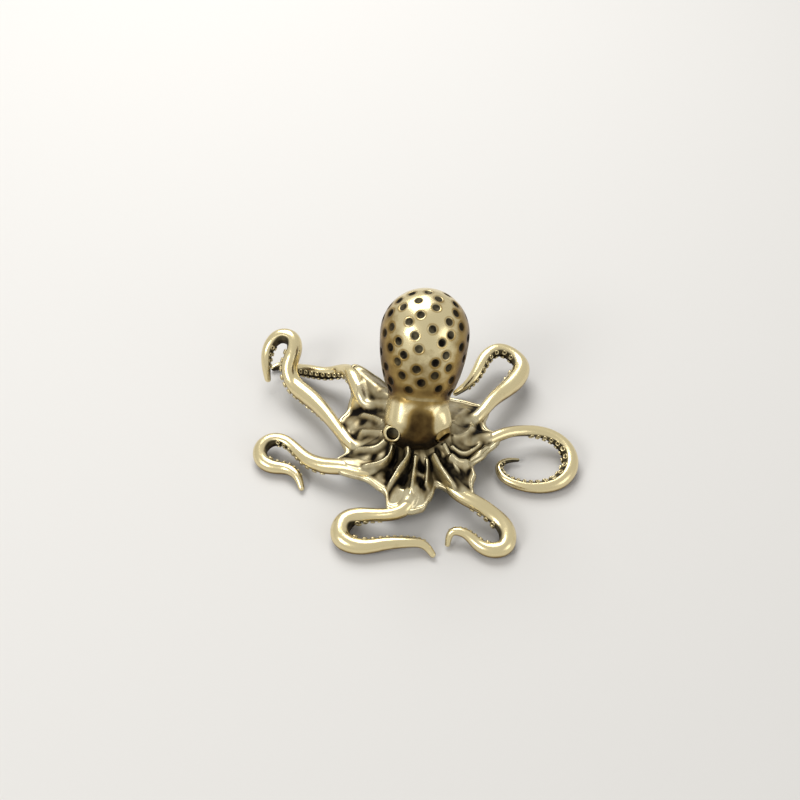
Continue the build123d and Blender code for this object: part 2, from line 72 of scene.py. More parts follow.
# Each arm starts inside the hub: its distance and clearance there, and below its direction in degrees
ROOT_SHARE = 0.145
ROOT_LIFT_SHARE = 0.6
ARM_SHARES = {
    "front": [
        (-0.02, -0.26, 0.56, 0.93, 0.0), (-0.03, -0.38, 0.46, 0.95, 0.0), (-0.08, -0.49, 0.42, 0.87, 0.0),
        (-0.2, -0.51, 0.32, 0.82, -0.2), (-0.33, -0.5, 0.19, 1.0, -0.6), (-0.43, -0.53, 0.05, 1.24, -1.0),
        (-0.45, -0.62, 0.0, 1.24, -1.0), (-0.35, -0.69, 0.04, 1.02, -1.0), (-0.2, -0.68, 0.11, 0.83, -0.9),
        (-0.06, -0.67, 0.15, 0.69, -0.8), (0.04, -0.68, 0.12, 0.54, -0.8), (0.09, -0.73, 0.05, 0.4, -0.8)],
    "front_right": [
        (0.16, -0.21, 0.56, 0.93, 0.0), (0.22, -0.34, 0.42, 0.95, 0.0), (0.35, -0.43, 0.32, 0.98, 0.3),
        (0.46, -0.5, 0.15, 1.06, 0.7), (0.53, -0.6, 0.03, 1.14, 1.0), (0.51, -0.69, 0.0, 1.06, 1.0),
        (0.43, -0.71, 0.02, 0.94, 1.0), (0.35, -0.67, 0.1, 0.77, 1.0), (0.28, -0.62, 0.24, 0.6, 0.8),
        (0.21, -0.61, 0.26, 0.5, 0.6), (0.18, -0.66, 0.07, 0.34, 0.6)],
    "right": [
        (0.26, -0.03, 0.56, 0.93, 0.0), (0.38, -0.01, 0.48, 0.86, 0.0), (0.53, 0.06, 0.5, 0.78, 0.3),
        (0.69, 0.11, 0.4, 0.78, 0.6), (0.84, 0.1, 0.28, 0.84, 0.8), (0.94, 0.02, 0.16, 0.95, 1.1),
        (0.96, -0.1, 0.05, 1.06, 1.2), (0.89, -0.21, 0.0, 1.0, 1.35), (0.75, -0.255, 0.02, 0.82, 1.4),
        (0.61, -0.23, 0.06, 0.68, 1.4), (0.53, -0.17, 0.1, 0.56, 1.35), (0.52, -0.1, 0.12, 0.47, 1.3),
        (0.575, -0.055, 0.12, 0.36, 1.2), (0.64, -0.045, 0.12, 0.24, 1.2)],
    "back_right": [
        (0.23, 0.11, 0.56, 0.9, 0.0), (0.36, 0.16, 0.54, 0.8, 0.0), (0.46, 0.28, 0.59, 0.84, 0.0),
        (0.57, 0.42, 0.44, 1.08, -0.3), (0.67, 0.55, 0.34, 1.26, -0.6), (0.7, 0.66, 0.36, 1.14, -0.9),
        (0.65, 0.74, 0.46, 0.96, -1.0), (0.56, 0.77, 0.54, 0.9, -1.0), (0.48, 0.72, 0.53, 0.92, -1.0),
        (0.42, 0.62, 0.44, 0.85, -0.9), (0.35, 0.53, 0.3, 0.66, -0.7), (0.27, 0.5, 0.12, 0.45, -0.6)],
    "back": [
        (0.03, 0.26, 0.56, 0.93, 0.0), (0.02, 0.4, 0.46, 0.9, 0.0), (0.05, 0.54, 0.36, 0.96, -0.3),
        (0.1, 0.67, 0.09, 1.06, -0.8), (0.09, 0.78, 0.0, 1.08, -1.0), (0.0, 0.82, 0.16, 0.98, -1.0),
        (-0.09, 0.78, 0.5, 0.84, -1.0), (-0.14, 0.72, 0.9, 0.7, -1.0), (-0.16, 0.7, 1.24, 0.56, -1.0),
        (-0.13, 0.66, 1.46, 0.4, -1.0)],
    "back_left": [
        (-0.19, 0.18, 0.58, 0.93, 0.0), (-0.29, 0.24, 0.64, 0.95, 0.0), (-0.37, 0.37, 0.84, 1.02, 0.0),
        (-0.43, 0.51, 0.78, 1.0, -0.4), (-0.5, 0.58, 0.52, 0.93, -0.8), (-0.59, 0.6, 0.38, 0.86, -1.0),
        (-0.69, 0.64, 0.27, 0.86, -1.0), (-0.78, 0.69, 0.14, 0.79, -1.0), (-0.86, 0.74, 0.06, 0.66, -1.0),
        (-0.92, 0.76, 0.03, 0.52, -1.0), (-0.96, 0.74, 0.05, 0.4, -1.0)],
    "left": [
        (-0.25, -0.03, 0.56, 0.93, 0.0), (-0.34, -0.06, 0.52, 0.78, 0.0), (-0.43, 0.01, 0.52, 0.72, 0.0),
        (-0.51, 0.13, 0.52, 0.83, 0.0), (-0.61, 0.29, 0.4, 1.04, -0.1), (-0.72, 0.42, 0.32, 1.2, -0.3),
        (-0.81, 0.52, 0.38, 1.16, -0.6), (-0.83, 0.6, 0.64, 1.12, -0.9), (-0.8, 0.68, 0.9, 1.1, -1.0),
        (-0.82, 0.75, 1.04, 1.06, -1.0), (-0.89, 0.77, 1.06, 0.98, -1.0), (-0.96, 0.72, 0.92, 0.86, -1.0),
        (-0.985, 0.65, 0.64, 0.7, -1.0), (-0.98, 0.59, 0.28, 0.47, -0.9)],
    "front_left": [
        (-0.2, -0.17, 0.56, 0.93, 0.0), (-0.29, -0.22, 0.46, 0.92, 0.0), (-0.41, -0.19, 0.42, 0.98, 0.0),
        (-0.55, -0.15, 0.28, 1.04, -0.2), (-0.67, -0.09, 0.22, 0.94, -0.5), (-0.76, 0.0, 0.24, 0.8, -0.7),
        (-0.84, 0.06, 0.26, 0.82, -0.9), (-0.92, 0.07, 0.2, 0.9, -1.0), (-0.975, 0.025, 0.1, 0.98, -1.0),
        (-0.97, -0.045, 0.02, 0.99, -1.0), (-0.91, -0.095, 0.0, 0.92, -1.0),
        (-0.81, -0.12, 0.05, 0.76, -1.0), (-0.74, -0.18, 0.1, 0.59, -0.8), (-0.71, -0.25, 0.04, 0.41, -0.8)],
}
ROOT_TURNS = {"front": -94.0, "front_right": -53.0, "right": -11.0, "back_right": 30.0,
              "back": 84.0, "back_left": 136.0, "left": 180.0, "front_left": 221.0}
# Stations along an arm, sides round it and steps over its rounded tip
ARM_STEPS, ARM_SIDES, CAP_STEPS = 260, 44, 9
# The trough between the suckers, in shares of the arm's radius and in degrees round it
TROUGH_DEPTH_SHARE, TROUGH_LIP_SHARE = 0.16, 0.01
TROUGH_HALF_WIDTH = 50.0

# Suckers
CUP_SHARE = 0.36
CUP_PITCH_SHARE = 1.02
CUP_ROW_ANGLE = 33.0
CUP_START_SHARE, CUP_END_SHARE = 0.36, 0.95
# No cup stands inside a bend that squeezes the skin under this share of the middle line's length
CUP_ROOM_SHARE = 0.6
CUP_SIDES, CUP_PLACE_STEPS = 12, 600
# A cup's outline in shares of its radius: out from its axis and up from the arm's skin
CUP_OUTLINE_SHARES = [(0.62, -0.5), (0.7, 0.1), (1.0, 0.52), (0.86, 0.72), (0.6, 0.62), (0.36, 0.2)]
CUP_GROUND_GAP = 0.03
# How dark each ring of that outline is, from the foot over the lip into the hollow
CUP_PATINA_SHARES = [1.0, 0.6, 0.0, 0.0, 0.1, 0.8]

# Head, neck and mantle
HEAD_RADIUS, HEAD_HEIGHT, HEAD_FORWARD = 3.7, 8.2, 0.3
NECK_RADIUS, NECK_LENGTH = 3.75, 2.9
HUB_RADIUS, HUB_HEIGHT = 3.35, 3.3
# How far the skin of the head's ball, the neck and the eyes' mounds lies inside their solids
HEAD_INSET, NECK_INSET, MOUND_INSET = 0.15, 0.04, 0.1
# Widths of the fillets where the brows, the neck and the eyes' mounds meet the head
BROW_FILLET, NECK_FILLET, MOUND_FILLET = 0.5, 1.0, 0.7
# The throat runs from this far over the hub's top up to the head's middle
THROAT_RISE = 2.0
# The neck's rod starts this far over the head's middle, and ends this far inside the mantle
NECK_START, NECK_OVERRUN = 0.2, 1.5
# The head's ball is a rod of this length
BALL_RUN = 0.01
# The skin's middle line starts this far over the hub and ends this far inside the mantle
SPINE_START, SPINE_OVERRUN = 0.4, 0.6
# Each brow is a rod: its start, its end and its radius
BROWS = [((-1.75, -1.7, 9.6), (-1.45, -0.3, 11.1), 1.5), ((2.65, -1.6, 9.35), (2.5, -1.0, 9.9), 1.5)]
# The shallow dip between the brows
BRIDGE_OUT, BRIDGE_DEPTH, BRIDGE_HALF_WIDTH = 0.5, 0.4, 0.9
# Stations up the head, rays round each, trial distances along a ray and halvings of the last step
HEAD_STEPS, HEAD_SIDES, HEAD_TRIALS, HEAD_HALVINGS = 190, 340, 44, 14
# The furthest and the nearest trial
HEAD_REACH, HEAD_CORE = 7.0, 0.5
MANTLE_LENGTH, MANTLE_RADIUS, MANTLE_LEAN, MANTLE_TURN = 13.0, 5.35, 39.0, -8.0
MANTLE_RIM_SHARE, MANTLE_WAIST_SHARE = 0.7, 0.58
MANTLE_STEPS, MANTLE_SIDES, MANTLE_FINE_STEPS = 260, 360, 601
# Painted shade darkens the mantle over the face, within this distance of its middle
MANTLE_SHADE_REACH = 5.0
# The pits' spacing, their distance from the egg's foot, how far each strays as a share of the
# spacing, and half their distance from the egg's tip
PIT_PITCH, PIT_EDGE, PIT_STRAY, PIT_BALL = 1.95, 0.75, 0.26, 0.55
# A pit's bowl runs out a little past its mouth, to this share of its radius
PIT_BOWL_SHARE, PIT_BOWL_POWER = 1.12, 1.6
GOLDEN_ANGLE = math.pi * (3 - 5 ** 0.5)

# Eyes
EYE_RADIUS, EYE_OUT, EYE_FORWARD = 1.25, 2.8, 2.3
# The pupil's hole, the rounding of its lip and the height of its floor's corner
PUPIL_RADIUS, PUPIL_DEPTH, PUPIL_ROUND, PUPIL_CORNER = 0.72, 1.15, 0.14, 0.1
EYE_NAMES = {"left": -1, "right": 1}
# The pupils' turns round the hub axis and rises over the ground, in degrees
EYE_TURNS = {-1: (-103.0, 38.0), 1: (-55.0, -12.0)}
# The right eye lies in the dark of the face
EYE_SHADES = {-1: 0.0, 1: 0.45}
# The head's skin lies this far inside the eye's ball, and clears a tube before the pupil
EYE_SEAT, PUPIL_CLEAR_SHARE = 0.06, 0.86
EYE_BALL_STEPS, EYE_LIP_STEPS, EYE_WALL_STEPS, EYE_SIDES = 40, 12, 10, 64

# Web, in degrees round the hub and millimetres from its axis
WEB_TOP, WEB_RIM_HEIGHT, WEB_FALL_POWER = 8.1, 2.9, 0.6
WEB_START, WEB_LOBE_REACH, WEB_ARM_BLEND = 2.85, 10.6, 1.5
# The distances between which the rim is looked for, and the places tried there
WEB_SEARCH = (5.0, 14.0, 181)
# The share of the arms' width that the rim blends with, and the rounds that ease it
WEB_ARM_SHARE, WEB_EASE_ROUNDS = 0.8, 6
# Each point of the rim: its direction and its distance
WEB_RIM = [(-108, 9.9), (-98, 10.5), (-86, 10.2), (-80, 8.8), (-70, 7.0), (-60, 7.6), (-48, 9.6),
           (-37, 9.0), (-26, 7.8), (-11, 8.9), (0, 10.0), (12, 9.4), (22, 9.1), (34, 10.2), (60, 8.8),
           (87, 9.6), (107, 9.0), (118, 11.2), (128, 13.6), (134, 12.3), (140, 10.9), (150, 10.3),
           (160, 10.4), (176, 8.9), (187, 8.8), (203, 10.2), (222, 8.3), (240, 8.5)]
# The rim rises over its height in the back left lobe: direction, half width and rise
WEB_RIM_RISE = (127, 12, 2.8)
# Directions round the web, rings out to its rim, steps round the rim and rings under it
WEB_TURN_STEPS, WEB_OUT_STEPS, WEB_RIM_STEPS, WEB_UNDER_STEPS = 500, 130, 12, 36
RIM_RADIUS = 0.42
WEB_THICKNESS, WEB_LEAST_THICKNESS = 0.6, 0.3
# The fillet between the web and the arms' backs, how far it lies under them at the rim, and its rise
# inwards from there
WEB_ARM_FILLET, WEB_ARM_DIP, WEB_ARM_COVER = 0.9, 0.03, 0.05
# How steeply the web's cover falls beside an arm, and how far it drops or lifts to meet the rim's roll
WEB_ARM_SLOPE, ROLL_DROP, ROLL_LIFT = 1.5, -0.3, 0.6
# Rounds of smoothing that give the mean height of a place's surroundings
WEB_MEAN_ROUNDS = 40
# The front lobe, rubbed bright with a painted highlight: its direction, distance, outer and inner radius
TONGUE = (-98.0, 9.4, 3.0, 1.4)
# Places along a fold's crest
FOLD_STEPS = 16
# Each fold: its height and half width, then its crest's points as degrees and millimetres
FOLDS = [
    (0.5, 0.42, [(138, 4.7), (140, 6.6), (144, 8.4), (147, 10.0)]),
    (0.5, 0.38, [(171, 4.2), (156, 6.0), (151, 8.4)]),
    (0.55, 0.4, [(192, 4.2), (180, 5.6), (174, 7.4)]),
    (0.65, 0.36, [(208, 4.2), (208, 5.4), (200, 6.8), (193, 8.2)]),
    (0.95, 0.34, [(222, 4.0), (229, 5.2), (223, 6.4), (212, 8.4)]),
    (1.1, 0.34, [(249, 3.4), (256, 4.7), (249, 6.2), (244, 8.8)]),
    (0.6, 0.3, [(268, 4.2), (266, 6.2), (265, 8.8)]),
    (0.6, 0.3, [(287, 4.4), (283, 5.6), (278, 7.6)]),
    (0.9, 0.42, [(296, 4.2), (298, 6.0), (300, 7.7), (301, 9.4)]),
    (0.8, 0.36, [(322, 4.1), (315, 6.0), (313, 7.8)]),
    (1.25, 0.66, [(316, 5.2), (320, 6.8), (331, 7.5), (346, 8.4), (357, 10.0)]),
    (0.7, 0.34, [(331, 4.6), (334, 6.0), (343, 7.1), (358, 8.4)]),
    (0.6, 0.42, [(344, 4.4), (354, 5.8), (9, 7.0), (22, 7.9)]),
    (0.4, 0.45, [(12, 4.8), (28, 6.5), (36, 8.5)]),
    (0.3, 0.45, [(60, 4.6), (62, 6.4), (70, 8.2)]),
    (0.3, 0.45, [(95, 4.6), (97, 6.4), (92, 8.6)]),
    (0.3, 0.4, [(116, 4.6), (118, 6.4), (119, 8.4)]),
]
# Each dent: its depth, its radius, and its place as degrees and millimetres
DENTS = [(1.0, 0.75, 235, 4.6), (0.9, 0.8, 238, 6.2), (1.0, 0.65, 259, 5.2), (0.9, 0.7, 257, 6.9),
         (0.9, 0.6, 276, 5.2), (0.8, 0.55, 273, 6.8), (0.7, 0.55, 305, 4.4), (0.8, 0.6, 307, 5.6),
         (0.4, 0.6, 176, 7.8), (0.35, 0.5, 215, 6.3), (0.4, 0.5, 14, 8.0), (0.3, 0.6, 162, 7.2),
         (0.3, 0.7, 128, 7.5)]

# Camera: the picture's angle across, its tilt, and its place from the hub on the ground
VIEW_ANGLE = 42.0
VIEW_TILT = 50.0
VIEW_PLACE = (-2.035, -79.5, 106.2)
# The camera sees nothing nearer than this, in metres
NEAREST_SEEN = 0.005

# Lamps: name, place and width in metres, and power in watts
LAMPS = [("key", (-0.05, 0.18, 0.24), 0.2, 0.65), ("fill", (0.26, -0.16, 0.16), 0.16, 0.1),
         ("face", (-0.18, -0.14, 0.20), 0.1, 0.22)]
# Strength of the world as a light, and as it is seen or mirrored
WORLD_LIGHT, WORLD_SEEN = 0.45, 0.8
FLOOR_SIDES, FLOOR_ROUGHNESS = 96, 0.9

# The brass's relief and blotches, in millimetres
BLOTCH_WIDTH, BLOTCH_RELIEF = 1.2, 0.06
GRAIN_WIDTH, GRAIN_RELIEF = 0.25, 0.03
# How rough and how metallic the blackened recesses are
PATINA_ROUGHNESS, PATINA_METALLIC = 0.62, 0.9


def hub_place():
    """The hub axis in the frame, in millimetres. The eyes' boxes stand evenly to each side of it."""
    low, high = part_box("eye_left")[0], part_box("eye_right")[1]
    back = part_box("eye_left")[1].y
    return np.array([(low.x + high.x) / 2 / MM, back / MM - EYE_RADIUS + EYE_FORWARD, 0.0])


HUB = hub_place()
HEAD_MIDDLE = np.array([0, -HEAD_FORWARD, HEAD_HEIGHT])


def running_total(steps):
    """The sum of the steps up to each place, from 0."""
    return np.concatenate([[0], np.cumsum(steps)])


def full_turn(count):
    """Evenly spaced angles once round."""
    return np.linspace(0, 2 * np.pi, count, endpoint=False)


def turned(first, second, angles):
    """The first direction turned by each angle towards the second, which stands across it."""
    return first * np.cos(angles)[..., None] + second * np.sin(angles)[..., None]


def cylindrical(angles, out, up):
    """Points at the given angles round an upright axis, distances out from it and heights."""
    return np.stack(np.broadcast_arrays(out * np.cos(angles), out * np.sin(angles), up), -1)


def natural_curve(rows, count):
    """Rows along a natural cubic spline through the given rows, spaced evenly by chord length."""
    rows = np.array(rows, float)
    steps = np.linalg.norm(np.diff(rows[:, :3], axis=0), axis=1)
    places = running_total(steps)
    size = len(rows)
    matrix = np.zeros((size, size))
    right = np.zeros_like(rows)
    matrix[0, 0] = matrix[-1, -1] = 1
    for i in range(1, size - 1):
        matrix[i, i - 1:i + 2] = steps[i - 1], 2 * (steps[i - 1] + steps[i]), steps[i]
        right[i] = 6 * ((rows[i + 1] - rows[i]) / steps[i] - (rows[i] - rows[i - 1]) / steps[i - 1])
    bend = np.linalg.solve(matrix, right)
    at = np.linspace(0, places[-1], count)
    k = np.clip(np.searchsorted(places, at) - 1, 0, size - 2)
    before, after, step = (at - places[k])[:, None], (places[k + 1] - at)[:, None], steps[k][:, None]
    curve = bend[k] * after ** 3 / (6 * step) + bend[k + 1] * before ** 3 / (6 * step)
    curve += (rows[k] / step - bend[k] * step / 6) * after
    return curve + (rows[k + 1] / step - bend[k + 1] * step / 6) * before


def unit(vectors):
    """The vectors at a length of one."""
    return vectors / np.linalg.norm(vectors, axis=-1, keepdims=True)


def smooth_step(low, high, value):
    """0 below low and 1 above high, joined by the cubic 3t^2 - 2t^3."""
    t = np.clip((value - low) / (high - low), 0, 1)
    return t * t * (3 - 2 * t)


def smooth_min(a, b, width):
    """The smaller of two distances, with a fillet of the given width where they cross, and their overlap.

    The overlap is how much nearer than the width they are to each other, as a share of it. The fillet
    takes overlap^2 * width / 4 off the smaller distance.
    """
    overlap = np.maximum(width - np.abs(a - b), 0) / width
    return np.minimum(a, b) - overlap ** 2 * width / 4, overlap


def smooth_max(a, b, width):
    """The larger of two heights, with the same fillet."""
    return -smooth_min(-a, -b, width)[0]


def arm_curve(name, count):
    """Stations along an arm: their rows, their forward directions and their right hand sides."""
    turn = math.radians(ROOT_TURNS[name])
    shares = ARM_SHARES[name]
    root = (math.cos(turn) * ROOT_SHARE, math.sin(turn) * ROOT_SHARE, ROOT_LIFT_SHARE, shares[0][3], 0.0)
    rows = []
    for x, y, lift, girth, facing in [root] + shares:
        radius = girth * ARM_GIRTH
        height = lift * ARM_LIFT + radius - GROUND_FLAT
        rows.append((x * ARM_REACH, y * ARM_REACH, height, radius, facing * math.pi / 2))
    curve = natural_curve(rows, count)
    forward = unit(np.gradient(curve[:, :3], axis=0))
    side = unit(np.cross(forward, (0, 0, 1)))
    return curve, forward, side


def sheet_faces(rows, columns, ring):
    """Quads of a grid whose columns close on themselves, and whose rows do too where ring is true."""
    i, j = np.meshgrid(np.arange(rows if ring else rows - 1), np.arange(columns), indexing="ij")
    nearer, further = i * columns, (i + 1) % rows * columns
    after = (j + 1) % columns
    return np.stack([nearer + j, nearer + after, further + after, further + j], -1).reshape(-1, 4)


def add_object(name, data):
    """A new object of the scene."""
    made = bpy.data.objects.new(name, data)
    bpy.context.scene.collection.objects.link(made)
    return made


def make_piece(name, nodes, material, grids):
    """A closed mesh from grids, each (points, patina with painted shade, tarnish with painted shade, ring).

    A grid that is no ring gets a pole at each end, at the middle of its end row. Each grid is turned
    inside out where its signed volume, a sixth of the sum of its corners' triple products, is below zero.
    """
    places, faces, patinas_and_shades, shades_and_tarnishes = [], [], [], []
    start = 0
    for points, patina_and_shade, shade_and_tarnish, ring in grids:
        rows, columns = points.shape[:2]
        flat = points.reshape(-1, 3)
        quads = sheet_faces(rows, columns, ring)
        corners = flat[quads]
        triples = np.cross(corners[:, 0], corners[:, 1]) * corners[:, 2]
        triples += np.cross(corners[:, 0], corners[:, 2]) * corners[:, 3]
        polys = quads.tolist()
        if not ring:
            around = np.arange(columns)
            first, last = rows * columns, rows * columns + 1
            near = np.stack([np.full(columns, first), np.roll(around, -1), around], -1)
            far = around + (rows - 1) * columns
            far = np.stack([np.full(columns, last), far, np.roll(far, -1)], -1)
            polys += near.tolist() + far.tolist()
            patina_and_shade = np.concatenate([patina_and_shade.ravel(), [patina_and_shade[0].mean(), patina_and_shade[-1].mean()]])
            shade_and_tarnish = np.concatenate([shade_and_tarnish.ravel(), [shade_and_tarnish[0].mean(), shade_and_tarnish[-1].mean()]])
            flat = np.concatenate([flat, [points[0].mean(0), points[-1].mean(0)]])
        turned = triples.sum() < 0
        faces += [[start + corner for corner in (poly[::-1] if turned else poly)] for poly in polys]
        places.append(flat)
        patinas_and_shades.append(np.ravel(patina_and_shade))
        shades_and_tarnishes.append(np.ravel(shade_and_tarnish))
        start += len(flat)
    mesh = bpy.data.meshes.new(name)
    mesh.from_pydata(((np.concatenate(places) + HUB) * MM).tolist(), [], faces)
    for label, values in (("patina_and_shade", patinas_and_shades), ("shade_and_tarnish", shades_and_tarnishes)):
        layer = mesh.attributes.new(label, "FLOAT", "POINT")
        layer.data.foreach_set("value", np.concatenate(values).astype(np.float32))
    mesh.polygons.foreach_set("use_smooth", np.ones(len(mesh.polygons), bool))
    mesh.materials.append(material)
    mesh.update()
    piece = add_object(name, mesh)
    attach(piece, BODY)
    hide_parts(*nodes)
    return piece


def linear(hex_colour):
    """An sRGB hex colour as linear red, green, blue and alpha."""
    parts = [int(hex_colour[i:i + 2], 16) / 255 for i in (1, 3, 5)]
    return tuple(p / 12.92 if p <= 0.04045 else ((p + 0.055) / 1.055) ** 2.4 for p in parts) + (1.0,)


def add_node(tree, kind, settings=None, inputs=None):
    """Adds a node, sets its settings, and sets or links its inputs."""
    node = tree.nodes.new(kind)
    for key, value in (settings or {}).items():
        setattr(node, key, value)
    for key, value in (inputs or {}).items():
        if isinstance(value, bpy.types.NodeSocket):
            tree.links.new(value, node.inputs[key])
        else:
            node.inputs[key].default_value = value
    return node


def add_ramp(tree, source, stops):
    """A colour ramp with the given (place, linear colour) stops."""
    node = add_node(tree, "ShaderNodeValToRGB", inputs={"Fac": source})
    ramp = node.color_ramp
    while len(ramp.elements) < len(stops):
        ramp.elements.new(0.5)
    for element, (place, colour) in zip(ramp.elements, stops):
        element.position = place
        element.color = colour
    return node.outputs["Color"]


def new_material(name):
    """A new material with its node tree and its shader."""
    material = bpy.data.materials.new(name)
    material.use_nodes = True
    tree = material.node_tree
    shader = next(node for node in tree.nodes if node.type == "BSDF_PRINCIPLED")
    return material, tree, shader


def antiqued_brass(name, finish, wear, bright):
    """Lost-wax cast brass, blackened in a bath and then rubbed bright on what stands proud.

    The eye gets pale gold on the tops, warm brown on the lower flanks and matt brown-black in recesses,
    with the fine unevenness of a cast skin. The black is patina in the recesses and painted shade on the
    undersides, sides and shaded parts. The brown is tarnish and painted shade on the lower flanks, which
    leaves the tops painted lighter where they face the light. The mesh's two shares say where, each
    shifted by the blotches and by wear, which is below zero where it is rubbed more.
    """
    material, tree, shader = new_material(name)
    coords = add_node(tree, "ShaderNodeTexCoord").outputs["Object"]
    patina_and_shade = add_node(tree, "ShaderNodeAttribute", {"attribute_name": "patina_and_shade"}).outputs["Fac"]
    shade_and_tarnish = add_node(tree, "ShaderNodeAttribute", {"attribute_name": "shade_and_tarnish"}).outputs["Fac"]
    blotch = add_node(tree, "ShaderNodeTexNoise",
                      inputs={"Vector": coords, "Scale": 1 / (BLOTCH_WIDTH * MM), "Detail": 4.0})
    # The cast skin's grain is finer on the real thing, and is drawn as coarse as it needs to show
    grain = add_node(tree, "ShaderNodeTexNoise",
                     inputs={"Vector": coords, "Scale": 1 / (GRAIN_WIDTH * MM), "Detail": 3.0})
    uneven = add_node(tree, "ShaderNodeMath", {"operation": "MULTIPLY_ADD"},
                      {0: blotch.outputs["Fac"], 1: finish.mottle, 2: -0.5 * finish.mottle + wear})
    uneven = uneven.outputs[0]
    clamped = {"operation": "ADD", "use_clamp": True}
    # Black share: patina in the recesses and painted shade on the undersides, sides and shaded parts
    recess_and_shade = add_node(tree, "ShaderNodeMath", clamped, {0: patina_and_shade, 1: uneven}).outputs[0]
    # Brown share: tarnish and painted shade on the lower flanks and shaded parts
    warmth = add_node(tree, "ShaderNodeMath", clamped, {0: shade_and_tarnish, 1: uneven}).outputs[0]
    metal = add_ramp(tree, warmth, [(0.0, bright), (0.35, finish.middle), (1.0, finish.warm)])
    colour = add_node(tree, "ShaderNodeMix", {"data_type": "RGBA"},
                      {0: recess_and_shade, 6: metal, 7: finish.patina_and_shade}).outputs[2]
    rough = add_node(tree, "ShaderNodeMapRange", inputs={0: recess_and_shade, 3: finish.polish, 4: PATINA_ROUGHNESS})
    metallic = add_node(tree, "ShaderNodeMapRange", inputs={0: recess_and_shade, 3: 1.0, 4: PATINA_METALLIC})
    bump = add_node(tree, "ShaderNodeBump", inputs={"Height": grain.outputs["Fac"], "Strength": 0.2,
                                                    "Distance": GRAIN_RELIEF * MM})
    waves = add_node(tree, "ShaderNodeBump",
                     inputs={"Height": blotch.outputs["Fac"], "Strength": 0.4,
                             "Distance": BLOTCH_RELIEF * MM, "Normal": bump.outputs["Normal"]})
    for socket, source in (("Base Color", colour), ("Roughness", rough.outputs[0]),
                           ("Metallic", metallic.outputs[0]), ("Normal", waves.outputs["Normal"])):
        tree.links.new(source, shader.inputs[socket])
    return material


def colour_choice(name, description, hex_colour):
    """A colour that the panel shows."""
    return bpy.props.FloatVectorProperty(name=name, description=description, default=linear(hex_colour),
                                         size=4, subtype="COLOR")


def share_choice(name, description, default, most):
    """A share from 0 up to the given most."""
    return bpy.props.FloatProperty(name=name, description=description, default=default,
                                   min=0.0, max=most, subtype="FACTOR")


def length_choice(name, description, default, digits):
    """A length in metres, shown with the given number of digits."""
    return bpy.props.FloatProperty(name=name, description=description, default=default,
                                   unit="LENGTH", precision=digits)


class OctopusFinish(bpy.types.PropertyGroup):
    """Colours and polish of the brass."""
    bright: colour_choice("Bright", "Colour of the rubbed brass", "#E2D3A6")
    middle: colour_choice("Middle", "Colour of the half rubbed brass", "#A88D54")
    # Warm also colours the brown painted shade on the lower flanks
    warm: colour_choice("Warm", "Colour of the brown flanks", "#573A16")
    # Patina also colours the painted shade on the undersides, the sides and the face
    patina_and_shade: colour_choice("Patina", "Colour of the blackened recesses", "#0F0B07")
    web: colour_choice("Web", "Colour of the web's brass, which the cloth hardly reached", "#D0C5A2")
    floor: colour_choice("Floor", "Colour of the floor", "#E4E2DE")
    polish: share_choice("Polish", "Roughness of the rubbed brass", 0.24, 1.0)
    mottle: share_choice("Mottle", "How unevenly the patina was rubbed off", 0.5, 2.0)


class OctopusSizes(bpy.types.PropertyGroup):
    """Sizes of the relief."""
    pit_depth: length_choice("Pit depth", "Depth of each pit in the body", 0.26 * MM, 5)
    pit_radius: length_choice("Pit radius", "Radius of each pit at its mouth", 0.54 * MM, 5)
    fold_share: share_choice("Folds", "Height of the web's folds, as a share", 1.0, 2.0)
    floor_size: length_choice("Floor", "Width of the floor", 1.6, 2)


class OCTOPUS_OT_arms(bpy.types.Operator):
    """Eight tapering arms with a shallow trough on the sucker side"""
    bl_idname = "octopus.arms"
    bl_label = "Arms"

    def execute(self, context):
        """A ring round each station: radius times (cos, sin) of the angle from the suckers' direction.

        The radius dips by the trough's share inside its half width, and has a low lip along its edges. The
        tip is a half ball: rings at the sine along and the cosine across. Points below the ground are
        raised to it. Patina fills the trough, painted shade darkens the underside, and a brown painted shade
        lies on the lower flanks.
        """
        finish = context.scene.octopus_finish
        material = antiqued_brass("antiqued brass, cast and rubbed", finish, -0.08, finish.bright)
        around = np.linspace(-np.pi, np.pi, ARM_SIDES, endpoint=False)
        for name in ARM_SHARES:
            curve, forward, side = arm_curve(name, ARM_STEPS)
            cap = np.linspace(0, np.pi / 2, CAP_STEPS + 1)[1:-1]
            along = np.concatenate([np.zeros(ARM_STEPS), np.sin(cap)])
            across = np.concatenate([np.ones(ARM_STEPS), np.cos(cap)])
            pick = np.minimum(np.arange(len(along)), ARM_STEPS - 1)
            curve, forward, side = curve[pick], forward[pick], side[pick]
            radius = curve[:, 3] - SKIN_INSET
            facing_out = turned(np.cross(forward, side), side, curve[:, 4])
            facing_side = np.cross(forward, facing_out)
            half = math.radians(TROUGH_HALF_WIDTH)
            dip = TROUGH_DEPTH_SHARE * smooth_step(1.0, 0.55, np.abs(around) / half)
            lip = TROUGH_LIP_SHARE * np.exp(-((np.abs(around) - half * 1.08) / (0.16 * half)) ** 2)
            shape = (1 - dip + lip)[None, :] * across[:, None] * radius[:, None]
            points = curve[:, None, :3] + forward[:, None, :] * (along * radius)[:, None, None]
            points = points + facing_out[:, None, :] * (shape * np.cos(around))[..., None]
            points = points + facing_side[:, None, :] * (shape * np.sin(around))[..., None]
            upward = facing_out[:, None, 2] * np.cos(around) + facing_side[:, None, 2] * np.sin(around)
            trough = np.broadcast_to(smooth_step(1.3, 0.85, np.abs(around) / half), shape.shape)
            # Patina in the trough, and painted shade on the underside, darker the more the skin faces down
            patina_and_shade = np.maximum(0.95 * trough, 0.65 * smooth_step(-0.35, -0.95, upward))
            # Brown painted shade on the lower flanks, more the more the skin faces down
            shade_and_tarnish = smooth_step(0.35, -0.5, upward)
            points[..., 2] = np.maximum(points[..., 2], 0)
            make_piece(name + "_arm_cast", [name + "_arm"], material,
                       [(points, patina_and_shade, shade_and_tarnish, False)])
        return {"FINISHED"}


